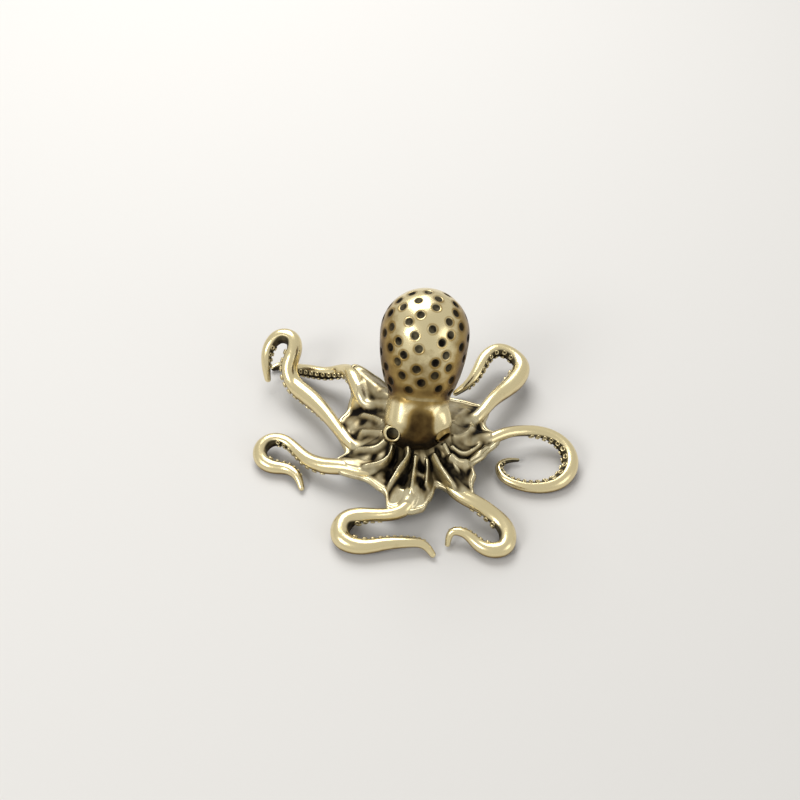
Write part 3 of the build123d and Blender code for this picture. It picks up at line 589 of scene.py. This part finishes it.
class OCTOPUS_OT_suckers(bpy.types.Operator):
    """Two rows of little cups along each arm"""
    bl_idname = "octopus.suckers"
    bl_label = "Suckers"

    def execute(self, context):
        """A cup's outline turned about its own axis, set on the arm's skin each side of its trough."""
        finish = context.scene.octopus_finish
        material = antiqued_brass("antiqued brass, cast cups", finish, 0.0, finish.bright)
        around = full_turn(CUP_SIDES)
        outline = np.array(CUP_OUTLINE_SHARES)
        for name in ARM_SHARES:
            curve, forward, side = arm_curve(name, CUP_PLACE_STEPS)
            down = np.cross(forward, side)
            line = curve[:, :3] + turned(down, side, curve[:, 4]) * curve[:, 3:4]
            steps = np.linalg.norm(np.diff(line, axis=0), axis=1)
            room = steps / np.linalg.norm(np.diff(curve[:, :3], axis=0), axis=1)
            places = running_total(steps)
            place = places[int(CUP_START_SHARE * len(places))]
            grids = []
            while place < places[int(CUP_END_SHARE * len(places))]:
                k = int(np.searchsorted(places, place))
                radius = curve[k, 3]
                place += CUP_PITCH_SHARE * radius
                if room[k - 1] < CUP_ROOM_SHARE:
                    continue
                for row_angle in (-CUP_ROW_ANGLE, CUP_ROW_ANGLE):
                    turn = curve[k, 4] + math.radians(row_angle)
                    out = down[k] * math.cos(turn) + side[k] * math.sin(turn)
                    across = np.cross(forward[k], out)
                    size = radius * CUP_SHARE
                    foot = curve[k, :3] + out * radius * (1 - TROUGH_DEPTH_SHARE)
                    ring = turned(forward[k], across, around)
                    wide, rise = outline[:, 0, None, None], outline[:, 1, None, None]
                    points = foot + ring[None] * wide * size + out * rise * size
                    if points[..., 2].min() < CUP_GROUND_GAP:
                        continue
                    patina_and_shade = np.repeat(np.array(CUP_PATINA_SHARES)[:, None], CUP_SIDES, 1)
                    grids.append((points, patina_and_shade, patina_and_shade * 0.2, False))
            make_piece(name + "_suckers_cast", [name + "_suckers"], material, grids)
        return {"FINISHED"}


def mantle_axes():
    """The neck's top and the axes there: across, away from the face, and along the mantle."""
    lean, turn = math.radians(MANTLE_LEAN), math.radians(MANTLE_TURN)
    along = np.array([-math.sin(turn) * math.sin(lean), math.cos(turn) * math.sin(lean), math.cos(lean)])
    across = unit(np.cross(along, (0, 0, 1)))
    foot = HEAD_MIDDLE + along * NECK_LENGTH
    return foot, across, np.cross(along, across), along


def egg_radius(height):
    """The egg's radius at a height: a parabola up to the waist, and an ellipse above it."""
    waist = MANTLE_WAIST_SHARE * MANTLE_LENGTH
    below = np.clip(1 - height / waist, 0, None)
    above = np.clip((height - waist) / (MANTLE_LENGTH - waist), 0, 1)
    return MANTLE_RADIUS * (1 - (1 - MANTLE_RIM_SHARE) * below ** 2) * np.sqrt(1 - above ** 2)


class OCTOPUS_OT_mantle(bpy.types.Operator):
    """The egg-shaped body with its pits"""
    bl_idname = "octopus.mantle"
    bl_label = "Mantle"

    def execute(self, context):
        """The egg's radius turned about its axis, less a bowl at each pit.

        The foot of the egg blends into the neck's radius. The pits follow the golden angle at equal areas,
        each strayed a little. A bowl is its depth times (1 - (distance / reach)^2) to a power, where the
        reach is a little more than the pit's radius. A ring of tarnish lies round each pit and patina in it.
        Painted shade, black and brown, darkens the egg's sides, its underside and the low part over the
        face.
        """
        sizes, finish = context.scene.octopus_sizes, context.scene.octopus_finish
        foot, across, back, along = mantle_axes()
        fine = MANTLE_LENGTH * np.sin(np.linspace(0, np.pi / 2, MANTLE_FINE_STEPS))
        radii = egg_radius(fine)
        run = running_total(np.hypot(np.diff(radii), np.diff(fine)))
        area = running_total(np.pi * (radii[1:] + radii[:-1]) * np.diff(run))
        start, end = np.interp([PIT_EDGE, run[-1] - 2 * PIT_BALL], run, area)
        count = int((end - start) / PIT_PITCH ** 2)
        i = np.arange(count)
        at = np.interp(start + (end - start) * (i + 0.5) / count, area, run)
        out, up = np.interp(at, run, radii), np.interp(at, run, fine)
        stray = PIT_STRAY * np.sin(i * i)
        turn = (i + 0.5) * GOLDEN_ANGLE + stray * PIT_PITCH / np.maximum(out, PIT_PITCH)
        pits = cylindrical(turn, out, up)

        runs = np.linspace(0, run[-1], MANTLE_STEPS + 2)[1:-1]
        angles = full_turn(MANTLE_SIDES)
        ring, rise = np.interp(runs, run, radii), np.interp(runs, run, fine)
        ring = NECK_RADIUS + (ring - NECK_RADIUS) * smooth_step(-0.4, 1.6, rise)
        skin = cylindrical(angles, ring[:, None], rise[:, None])
        climb, widening = np.gradient(rise, runs)[:, None], np.gradient(ring, runs)[:, None]
        normal = unit(cylindrical(angles, climb, -widening))
        near = np.full(skin.shape[:2], np.inf)
        for pit in pits:
            near = np.minimum(near, np.linalg.norm(skin - pit, axis=-1))
        radius, depth = sizes.pit_radius / MM, sizes.pit_depth / MM
        bowl = np.clip(1 - (near / (PIT_BOWL_SHARE * radius)) ** 2, 0, 1) ** PIT_BOWL_POWER
        rim = np.exp(-((near - 1.15 * radius) / (0.25 * radius)) ** 2)
        skin = skin - normal * (depth * bowl + SKIN_INSET)[..., None]
        points = foot + skin[..., :1] * across + skin[..., 1:2] * back + skin[..., 2:] * along
        upward = normal @ np.array([across[2], back[2], along[2]])
        # Painted shade over the face: the low middle of the mantle is darker
        centred = smooth_step(0.9, 0.2, np.abs(points[..., 0]) / MANTLE_SHADE_REACH)
        low = smooth_step(0.62, 0.2, rise / MANTLE_LENGTH)[:, None] * centred
        # Patina in the pits, with painted shade on the low part over the face and on the underside
        patina_and_shade = smooth_step(0.0, 0.3, bowl) + 0.3 * low + 0.5 * smooth_step(0.0, -0.8, upward)
        patina_and_shade = np.clip(patina_and_shade, 0, 1)
        # Painted shade on the egg's sides, which face across
        side = smooth_step(0.45, 0.95, np.abs(normal @ np.array([across[0], back[0], along[0]])))
        patina_and_shade = np.clip(patina_and_shade + 0.25 * side, 0, 1)
        # Brown painted shade on the lower flanks, the low part and the sides, with tarnish round the pits
        shade_and_tarnish = np.clip(smooth_step(0.5, -0.3, upward) + 0.3 * low + 0.3 * rim + 0.5 * side, 0, 1)
        material = antiqued_brass("antiqued brass, cast and polished", finish, -0.06, finish.bright)
        make_piece("mantle_cast", ["mantle"], material,
                   [(points, patina_and_shade, shade_and_tarnish, False)])
        return {"FINISHED"}


def eye_middle(side):
    """The middle of an eye's ball, for the side -1 or 1."""
    return np.array([side * EYE_OUT, -EYE_FORWARD, HEAD_HEIGHT])


def head_distance(points):
    """Distances outside the head, which is a smooth union of balls and rods, with its creases.

    The crease is the largest overlap. The third distance is to the nearer brow. Between the brows the
    head's ball is pushed in by the bridge's depth times exp(-(offset / half width)^2).
    """
    foot, _, _, along = mantle_axes()

    def rod(start, end, radius):
        """Distance outside a rod with round ends."""
        start, end = np.array(start, float), np.array(end, float)
        run = end - start
        share = np.clip((points - start) @ run / (run @ run), 0, 1)
        return np.linalg.norm(points - start - share[..., None] * run, axis=-1) - radius

    bridge = np.exp(-((points[..., 0] - BRIDGE_OUT) / BRIDGE_HALF_WIDTH) ** 2)
    bridge = BRIDGE_DEPTH * (bridge * smooth_step(-0.6, -2.4, points[..., 1]))
    union = rod(HEAD_MIDDLE, HEAD_MIDDLE + along * BALL_RUN, HEAD_RADIUS - HEAD_INSET) + bridge
    brows = [rod(start, end, radius) for start, end, radius in BROWS]
    neck_start, neck_end = HEAD_MIDDLE + along * NECK_START, foot + along * NECK_OVERRUN
    neck = rod(neck_start, neck_end, NECK_RADIUS - NECK_INSET)
    throat = rod((0, 0, HUB_HEIGHT + THROAT_RISE), (0, 0, HEAD_HEIGHT), HUB_RADIUS)
    parts = [(neck, NECK_FILLET), (throat, NECK_FILLET)]
    parts += [(brow, BROW_FILLET) for brow in brows]
    for side in EYE_TURNS:
        eye = eye_middle(side)
        parts.append((rod(eye, eye * 0.9 + HEAD_MIDDLE * 0.1, EYE_RADIUS - MOUND_INSET), MOUND_FILLET))
    crease = np.zeros(points.shape[:-1])
    for distance, width in parts:
        union, overlap = smooth_min(union, distance, width)
        crease = np.maximum(crease, overlap)
    return union, crease, np.minimum(*brows)


def eye_facing(side):
    """The way that an eye's pupil looks, for the side -1 or 1."""
    turn, rise = (math.radians(angle) for angle in EYE_TURNS[side])
    return np.array([math.cos(turn) * math.cos(rise), math.sin(turn) * math.cos(rise), math.sin(rise)])


def tube_entry(starts, rays, middle, facing, radius):
    """How far along each ray a round tube begins that leaves the middle the way it faces, or infinity.

    In the plane across the tube a ray meets the circle where t^2 + 2 b t + c = 0, scaled by its run there.
    """
    offset = starts - middle
    across = offset - (offset @ facing)[..., None] * facing
    run = rays - (rays @ facing)[..., None] * facing
    size = np.maximum((run ** 2).sum(-1), 1e-9)
    half = (across * run).sum(-1) / size
    inside = half ** 2 - ((across ** 2).sum(-1) - radius ** 2) / size
    entry = -half - np.sqrt(np.maximum(inside, 0))
    ahead = ((starts + rays * entry[..., None] - middle) @ facing) > 0
    return np.where((inside > 0) & (entry > 0) & ahead, entry, np.inf)


class OCTOPUS_OT_head(bpy.types.Operator):
    """Head, brows, eye mounds and neck in one skin"""
    bl_idname = "octopus.head"
    bl_label = "Head"

    def execute(self, context):
        """Where rays out of a line up the head's middle last cross the union, by trial and then by halving.

        The line is a parabola from the hub to the mantle's foot. A ray that meets an eye's ball, or the
        tube before its pupil, stops there. Patina darkens the creases. Painted shade darkens the face
        between and below the brows, the low part of the head and the collar under the mantle.
        """
        foot, _, _, along = mantle_axes()
        bottom, top = np.array([0, 0, HUB_HEIGHT + SPINE_START]), foot + along * SPINE_OVERRUN
        share = np.linspace(0, 1, HEAD_STEPS)[:, None]
        spine = bottom * (1 - share) ** 2 + 2 * HEAD_MIDDLE * share * (1 - share) + top * share ** 2
        ahead = unit(np.gradient(spine, axis=0))
        right = unit(np.array([1.0, 0, 0]) - ahead * ahead[:, :1])
        behind = np.cross(ahead, right)
        rays = turned(right[:, None], behind[:, None], full_turn(HEAD_SIDES))
        reach = np.linspace(HEAD_REACH, HEAD_CORE, HEAD_TRIALS)
        outer = np.full(rays.shape[:2], HEAD_CORE)
        found = np.zeros(rays.shape[:2], bool)
        for distance in reach:
            inside = head_distance(spine[:, None] + rays * distance)[0] < 0
            outer = np.where(inside & ~found, distance, outer)
            found |= inside
        low, high = outer, outer + (reach[0] - reach[1])
        for _ in range(HEAD_HALVINGS):
            half = (low + high) / 2
            inside = head_distance(spine[:, None] + rays * half[..., None])[0] < 0
            low, high = np.where(inside, half, low), np.where(inside, high, half)
        _, crease, off_brow = head_distance(spine[:, None] + rays * low[..., None])
        seat = (EYE_RADIUS - EYE_SEAT) ** 2
        clearance = EYE_RADIUS * PUPIL_CLEAR_SHARE
        for side in EYE_TURNS:
            eye = eye_middle(side)
            run = ((eye - spine[:, None]) * rays).sum(-1)
            clear = ((eye - spine) ** 2).sum(-1)[:, None] - run ** 2
            entry = run - np.sqrt(np.maximum(seat - clear, 0))
            low = np.where((clear < seat) & (run > 0), np.minimum(low, entry), low)
            low = np.minimum(low, tube_entry(spine[:, None], rays, eye, eye_facing(side), clearance))
        points = spine[:, None] + rays * low[..., None]
        height = points[..., 2]
        # Painted shade on the face in front, away from the brows
        face_shade = smooth_step(-1.2, -2.6, points[..., 1]) * smooth_step(0.0, 0.7, off_brow)
        # Patina in the creases, with painted shade on the face and on the low part of the head
        patina_and_shade = 0.25 * smooth_step(0.5, 1.0, crease) + 0.6 * face_shade + 0.5 * smooth_step(9.2, 7.4, height)
        # Painted shade on the collar under the mantle
        collar = smooth_step(2.0, NECK_LENGTH, (points - HEAD_MIDDLE) @ along)
        patina_and_shade = np.clip(patina_and_shade + 0.25 * collar, 0, 1)
        # Brown painted shade on the face, the low part of the head and the collar
        shade_and_tarnish = np.clip(0.9 * face_shade + 0.8 * smooth_step(9.6, 7.4, height) + 0.5 * collar, 0, 1)
        finish = context.scene.octopus_finish
        material = antiqued_brass("antiqued brass, cast and polished head", finish, -0.1, finish.bright)
        make_piece("head_cast", ["head"], material, [(points, patina_and_shade, shade_and_tarnish, False)])
        return {"FINISHED"}


class OCTOPUS_OT_eyes(bpy.types.Operator):
    """Two ball eyes, each with a deep drilled pupil"""
    bl_idname = "octopus.eyes"
    bl_label = "Eyes"

    def execute(self, context):
        """A ball's outline, the rounded lip and the drilled wall and floor, turned about the eye's axis."""
        finish = context.scene.octopus_finish
        material = antiqued_brass("antiqued brass, drilled", finish, -0.12, finish.bright)
        lip = PUPIL_RADIUS + PUPIL_ROUND
        lip_rise = math.sqrt((EYE_RADIUS - PUPIL_ROUND) ** 2 - lip ** 2)
        edge = math.atan2(lip, lip_rise)
        ball = np.linspace(math.pi, edge, EYE_BALL_STEPS)[1:]
        roll = np.linspace(edge, -math.pi / 2, EYE_LIP_STEPS)[1:]
        floor = EYE_RADIUS - PUPIL_DEPTH
        wall = np.linspace(lip_rise, floor + PUPIL_CORNER, EYE_WALL_STEPS)[1:]
        outline = [(EYE_RADIUS * math.sin(a), EYE_RADIUS * math.cos(a)) for a in ball]
        outline += [(lip + PUPIL_ROUND * math.sin(a), lip_rise + PUPIL_ROUND * math.cos(a)) for a in roll]
        outline += [(PUPIL_RADIUS, height) for height in wall]
        outline += [(PUPIL_RADIUS * 0.93, floor + PUPIL_CORNER / 5)]
        outline += [(PUPIL_RADIUS * share, floor) for share in (0.8, 0.3)]
        outline = np.array(outline)
        around = full_turn(EYE_SIDES)
        for name, sign in EYE_NAMES.items():
            facing = eye_facing(sign)
            right = unit(np.cross(facing, (0, 0, 1)))
            over = np.cross(right, facing)
            ring = turned(right, over, around)
            middle = eye_middle(sign)
            points = middle + ring[None] * outline[:, 0, None, None] + facing * outline[:, 1, None, None]
            inside = np.arange(len(outline)) >= len(ball) + len(roll) - 4
            patina_and_shade = np.broadcast_to(np.where(inside, 1.0, 0.0)[:, None], points.shape[:2])
            shade = EYE_SHADES[sign]
            patina_and_shade = np.clip(patina_and_shade + 0.7 * shade, 0, 1)
            # Brown painted shade on the lower half of each eye's ball
            shade_and_tarnish = smooth_step(0.3, -0.8, (points[..., 2] - middle[2]) / EYE_RADIUS)
            shade_and_tarnish = np.clip(shade_and_tarnish + shade, 0, 1)
            make_piece("eye_" + name + "_cast", ["eye_" + name], material,
                       [(points, patina_and_shade, shade_and_tarnish, False)])
        return {"FINISHED"}


def polar(degrees, distance):
    """The point in a direction in degrees, at a distance from the hub axis, on the ground."""
    return cylindrical(np.radians(degrees), distance, 0.0)


def line_distance(x, y, points):
    """Distance in plan from each place to a chain of straight runs, and the share of the chain there."""
    best, share = np.full(x.shape, np.inf), np.zeros(x.shape)
    for k, (start, end) in enumerate(zip(points[:-1], points[1:])):
        run = end - start
        t = np.clip(((x - start[0]) * run[0] + (y - start[1]) * run[1]) / (run @ run), 0, 1)
        distance = np.hypot(x - start[0] - t * run[0], y - start[1] - t * run[1])
        share = np.where(distance < best, (k + t) / (len(points) - 1), share)
        best = np.minimum(best, distance)
    return best, share


def web_reach(turns):
    """The rim's distance from the hub in each direction: the rim's table blended with the arms' flanks.

    Between the rim's points the plain reach is a smooth step. A direction's reach is the first place out
    that leaves the smooth union of that shape and the arms seen from above, up to the lobes' reach. A
    few rounds of averaging with its neighbours then ease it.
    """
    degrees = np.degrees(turns) % 360
    marks = np.array(sorted((turn % 360, reach) for turn, reach in WEB_RIM), float)
    before = marks[-1] - [360, 0]
    after = marks[0] + [360, 0]
    marks = np.vstack([before, marks, after])
    k = np.clip(np.searchsorted(marks[:, 0], degrees) - 1, 0, len(marks) - 2)
    t = (degrees - marks[k, 0]) / (marks[k + 1, 0] - marks[k, 0])
    plain = marks[k, 1] + (marks[k + 1, 1] - marks[k, 1]) * t * t * (3 - 2 * t)
    out = np.linspace(*WEB_SEARCH)
    x, y = out[None] * np.cos(turns)[:, None], out[None] * np.sin(turns)[:, None]
    union = out[None] - plain[:, None]
    for name in ARM_SHARES:
        curve = arm_curve(name, ARM_STEPS)[0][:ARM_STEPS // 3]
        arm = np.full(x.shape, np.inf)
        for row in curve[::2]:
            arm = np.minimum(arm, np.hypot(x - row[0], y - row[1]) - row[3] * WEB_ARM_SHARE)
        union = smooth_min(union, arm, WEB_ARM_BLEND)[0]
    outside = union > 0
    first = np.argmax(outside, axis=1)
    first = np.where(outside.any(axis=1), first, len(out) - 1)
    rows = np.arange(len(turns))
    here, last = union[rows, first], union[rows, np.maximum(first - 1, 0)]
    change = here - last
    back = np.clip(here / np.where(change == 0, 1, change), 0, 1)
    reach = out[first] - (out[1] - out[0]) * back
    reach = np.minimum(reach, np.maximum(WEB_LOBE_REACH, plain))
    for _ in range(WEB_EASE_ROUNDS):
        reach = (np.roll(reach, 1) + 2 * reach + np.roll(reach, -1)) / 4
    return reach


class OCTOPUS_OT_web(bpy.types.Operator):
    """The folded skirt between the arms, with its rolled rim"""
    bl_idname = "octopus.web"
    bl_label = "Web"

    def execute(self, context):
        """A tent over polar coordinates, closed by a rolled rim and an underside.

        The tent's height falls from its top by the share of the way out to a power. Each fold adds its
        height times exp(-(distance / width)^2), each dent takes off the same kind of bell, and each arm
        raises the skin over its back. Patina lies where the skin is below the mean of its surroundings,
        and is taken off the crests, the arms' backs, the high folds and the front lobe, as rubbed wear and
        as a painted highlight.
        """
        finish, fold_share = context.scene.octopus_finish, context.scene.octopus_sizes.fold_share
        turns = full_turn(WEB_TURN_STEPS)
        reach = web_reach(turns)
        out = np.linspace(0, 1, WEB_OUT_STEPS)[:, None]
        far = reach - RIM_RADIUS * 1.3
        distance = WEB_START + out * (far - WEB_START)
        x, y = distance * np.cos(turns), distance * np.sin(turns)
        share = np.clip((distance - WEB_START) / (reach - WEB_START), 0, 1)
        peak, spread, rise = WEB_RIM_RISE
        rim_height = WEB_RIM_HEIGHT + rise * np.exp(-((np.degrees(turns) - peak) / spread) ** 2)
        tent = WEB_TOP - share ** WEB_FALL_POWER * (WEB_TOP - rim_height)
        folds = np.zeros_like(tent)
        for height, width, crest in FOLDS:
            points = natural_curve([polar(*mark) for mark in crest], FOLD_STEPS)[:, :2]
            gap, place = line_distance(x, y, points)
            ends = smooth_step(0.0, 0.12, place + 0.04) * smooth_step(1.0, 0.8, place)
            folds = np.maximum(folds, height * ends * np.exp(-(gap / width) ** 2))
        for depth, radius, turn, gap in DENTS:
            spot = polar(turn, gap)
            bell = np.exp(-((x - spot[0]) ** 2 + (y - spot[1]) ** 2) / radius ** 2)
            folds = folds - depth * bell * (1 - folds)
        skin = tent + fold_share * folds
        limbs = np.full(skin.shape, -np.inf)
        for name in ARM_SHARES:
            hump = np.full(skin.shape, -np.inf)
            for row in arm_curve(name, ARM_STEPS)[0][:ARM_STEPS // 3:2]:
                gap = np.hypot(x - row[0], y - row[1])
                over = np.sqrt(np.maximum(row[3] ** 2 - gap ** 2, 0))
                over = over - WEB_ARM_SLOPE * np.maximum(gap - row[3], 0)
                hump = np.maximum(hump, row[2] + over)
            cover = WEB_ARM_COVER * smooth_step(0.98, 0.85, share) - WEB_ARM_DIP
            skin = smooth_max(skin, hump + cover, WEB_ARM_FILLET)
            limbs = np.maximum(limbs, hump + cover)
        limb = smooth_step(-0.22, 0.0, limbs - skin) * smooth_step(0.25, 0.7, share)
        ridge = smooth_step(0.35, 0.85, folds)
        # Rubbed wear and painted highlight: the arms' backs and the high folds keep little patina
        rubbed_and_highlit = (1 - 0.85 * limb) * (1 - 0.7 * ridge)
        near_rim = smooth_step(1.0, 0.0, (reach - distance) / (3.5 * RIM_RADIUS))
        rolled = rim_height + RIM_RADIUS
        skin = skin + near_rim * np.clip(rolled - skin, ROLL_DROP, ROLL_LIFT)
        mean = skin.copy()
        for _ in range(WEB_MEAN_ROUNDS):
            mean = (np.roll(mean, 1, 1) + np.roll(mean, -1, 1) + 2 * mean) / 4
            mean[1:-1] = (mean[:-2] + mean[2:] + 2 * mean[1:-1]) / 4
        recess_and_shade = smooth_step(-0.05, 0.22, mean - skin)
        crest = smooth_step(0.02, 0.22, skin - mean)

        edge_angle = np.linspace(0.65 * np.pi, -0.65 * np.pi, WEB_RIM_STEPS)[:, None]
        rim_out = reach - RIM_RADIUS + RIM_RADIUS * np.cos(edge_angle)
        rim_rise = rim_height + RIM_RADIUS * np.sin(edge_angle)
        under_share = np.linspace(1, 0, WEB_UNDER_STEPS)[:, None]
        under_out = WEB_START + under_share * (far - WEB_START)
        pick = (np.linspace(1, 0, WEB_UNDER_STEPS) * (WEB_OUT_STEPS - 1)).astype(int)
        under_rise = np.minimum(tent[pick] - WEB_THICKNESS, skin[pick] - WEB_LEAST_THICKNESS)
        under_rise[0] = rim_rise[-1]
        distance = np.concatenate([distance, rim_out, under_out])
        height = np.concatenate([skin, rim_rise, under_rise])
        points = cylindrical(turns, distance, height)
        close = smooth_step(4.4, 3.4, distance[:WEB_OUT_STEPS]) * 0.5
        turn, gap, outer, inner = TONGUE
        front = polar(turn, gap)
        tongue = smooth_step(outer, inner, np.hypot(x - front[0], y - front[1]))
        # Patina in the hollows, taken off the crests; the front lobe is rubbed bright with a painted
        # highlight
        patina_and_shade = (0.34 - 0.3 * crest + recess_and_shade) * (1 - 0.95 * tongue) * rubbed_and_highlit + close
        patina_and_shade = np.concatenate([np.clip(patina_and_shade, 0, 1), np.full(rim_out.shape, 0.1),
                                 np.full(under_rise.shape, 0.9)])
        patina_and_shade[WEB_OUT_STEPS - 10:WEB_OUT_STEPS] *= np.linspace(1, 0, 10)[:, None]
        material = antiqued_brass("antiqued brass, cast web", finish, 0.0, finish.web)
        make_piece("web_cast", ["web"], material, [(points, patina_and_shade, patina_and_shade * 0.3, True)])
        return {"FINISHED"}


class OCTOPUS_OT_stage(bpy.types.Operator):
    """Pale floor, soft lights and the camera"""
    bl_idname = "octopus.stage"
    bl_label = "Stage"

    def execute(self, context):
        """A flat round floor, three soft area lights and a camera at the picture's angle."""
        finish, scene = context.scene.octopus_finish, context.scene
        ring = cylindrical(full_turn(FLOOR_SIDES), 1.0, 0.0) * scene.octopus_sizes.floor_size / 2
        mesh = bpy.data.meshes.new("floor")
        mesh.from_pydata(ring.tolist(), [], [list(range(FLOOR_SIDES))])
        material, _, shader = new_material("matt paper floor")
        shader.inputs["Base Color"].default_value = finish.floor
        shader.inputs["Roughness"].default_value = FLOOR_ROUGHNESS
        mesh.materials.append(material)
        floor = add_object("floor", mesh)

        for name, place, size, power in LAMPS:
            lamp = bpy.data.lights.new(name, "AREA")
            lamp.size = size
            lamp.energy = power
            light = add_object(name, lamp)
            light.location = place
            aim = -np.array(place)
            light.rotation_euler = (math.atan2(math.hypot(aim[0], aim[1]), -aim[2]), 0,
                                    math.atan2(aim[1], aim[0]) - math.pi / 2)

        world = bpy.data.worlds.new("studio")
        world.use_nodes = True
        scene.world = world
        tree = world.node_tree
        sky = next(node for node in tree.nodes if node.type == "BACKGROUND")
        path = add_node(tree, "ShaderNodeLightPath")
        seen = path.outputs["Is Camera Ray"]
        larger = {"operation": "MAXIMUM"}
        for ray in ("Is Transmission Ray", "Is Glossy Ray"):
            seen = add_node(tree, "ShaderNodeMath", larger, {0: seen, 1: path.outputs[ray]}).outputs[0]
        strength = add_node(tree, "ShaderNodeMapRange", inputs={0: seen, 3: WORLD_LIGHT, 4: WORLD_SEEN})
        sky.inputs["Color"].default_value = linear("#F2F1EF")
        tree.links.new(strength.outputs[0], sky.inputs["Strength"])

        lens = bpy.data.cameras.new("camera")
        lens.angle = math.radians(VIEW_ANGLE)
        lens.clip_start = NEAREST_SEEN
        camera = add_object("camera", lens)
        camera.location = (np.array(VIEW_PLACE) + HUB) * MM
        camera.rotation_euler = (math.radians(90 - VIEW_TILT), 0, 0)
        scene.camera = camera
        scene.view_settings.view_transform = "Standard"
        return {"FINISHED"}


class OCTOPUS_PT_panel(bpy.types.Panel):
    """Lists the octopus's pieces, colours and sizes"""
    bl_idname = "OCTOPUS_PT_panel"
    bl_label = "Octopus"
    bl_space_type = "VIEW_3D"
    bl_region_type = "UI"
    bl_category = "Octopus"

    def draw(self, context):
        """A button for each piece, then the colours and sizes."""
        for operator in PIECES:
            self.layout.operator(operator.bl_idname)
        for group in (context.scene.octopus_finish, context.scene.octopus_sizes):
            for key in group.bl_rna.properties.keys():
                if key not in ("rna_type", "name"):
                    self.layout.prop(group, key)


PIECES = [OCTOPUS_OT_arms, OCTOPUS_OT_suckers, OCTOPUS_OT_web, OCTOPUS_OT_head, OCTOPUS_OT_eyes,
          OCTOPUS_OT_mantle, OCTOPUS_OT_stage]
CLASSES = [OctopusFinish, OctopusSizes, *PIECES, OCTOPUS_PT_panel]


def register():
    """Registers every class and hangs the two groups on the scene."""
    for kind in CLASSES:
        bpy.utils.register_class(kind)
    bpy.types.Scene.octopus_finish = bpy.props.PointerProperty(type=OctopusFinish)
    bpy.types.Scene.octopus_sizes = bpy.props.PointerProperty(type=OctopusSizes)


def unregister():
    """Undoes register."""
    del bpy.types.Scene.octopus_sizes
    del bpy.types.Scene.octopus_finish
    for kind in reversed(CLASSES):
        bpy.utils.unregister_class(kind)


def main():
    register()
    steps = bpy.ops.octopus
    for build in (steps.arms, steps.suckers, steps.web, steps.head, steps.eyes, steps.mantle, steps.stage):
        build()


if __name__ == "__main__":
    main()
